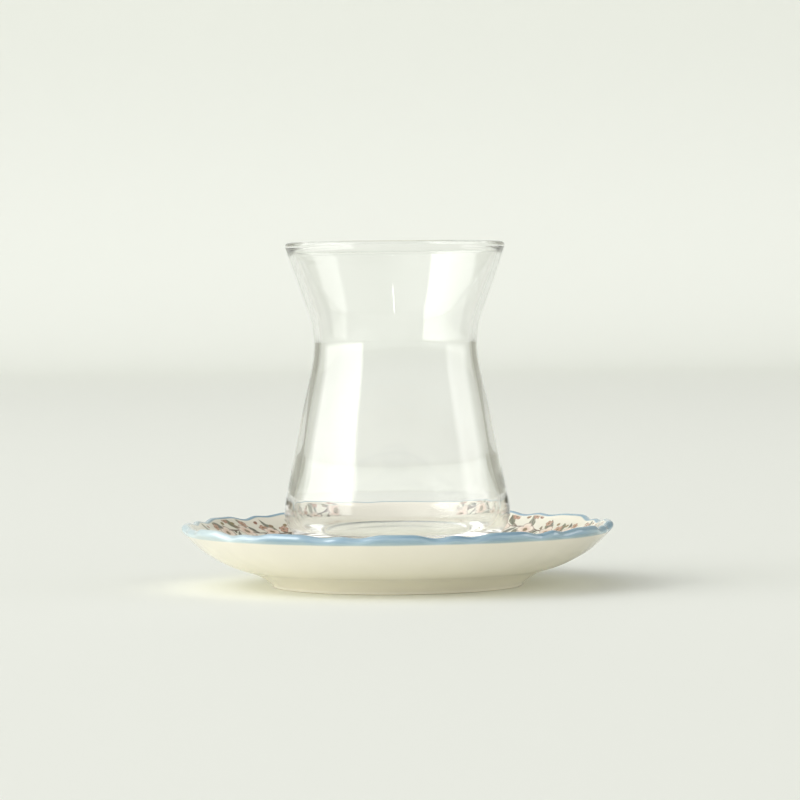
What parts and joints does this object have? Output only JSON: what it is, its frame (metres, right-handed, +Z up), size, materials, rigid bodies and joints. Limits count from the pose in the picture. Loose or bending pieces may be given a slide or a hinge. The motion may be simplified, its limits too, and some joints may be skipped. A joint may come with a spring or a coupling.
{
  "type": "turkish tea glass",
  "caption": "Empty slim-waisted clear tea glass with a beaded mouth, standing on a shallow glazed saucer with a scalloped, blue-edged rim.",
  "frame": {"origin": "centre of the saucer's foot ring, on the surface that it stands on", "axes": "+Z up along the axis of the glass and the saucer; -Y is the front, with a wide lobe of the rim centred on it"},
  "size_m": [0.1154, 0.1154, 0.0915],
  "materials": {
    "clear_glass": "clear and polished",
    "cream_glaze": "gloss, with a painted blue rim and a floral print"
  },
  "bodies": {
    "root": {"tea_glass": "clear_glass", "saucer": "cream_glaze"}
  },
  "joints": []
}
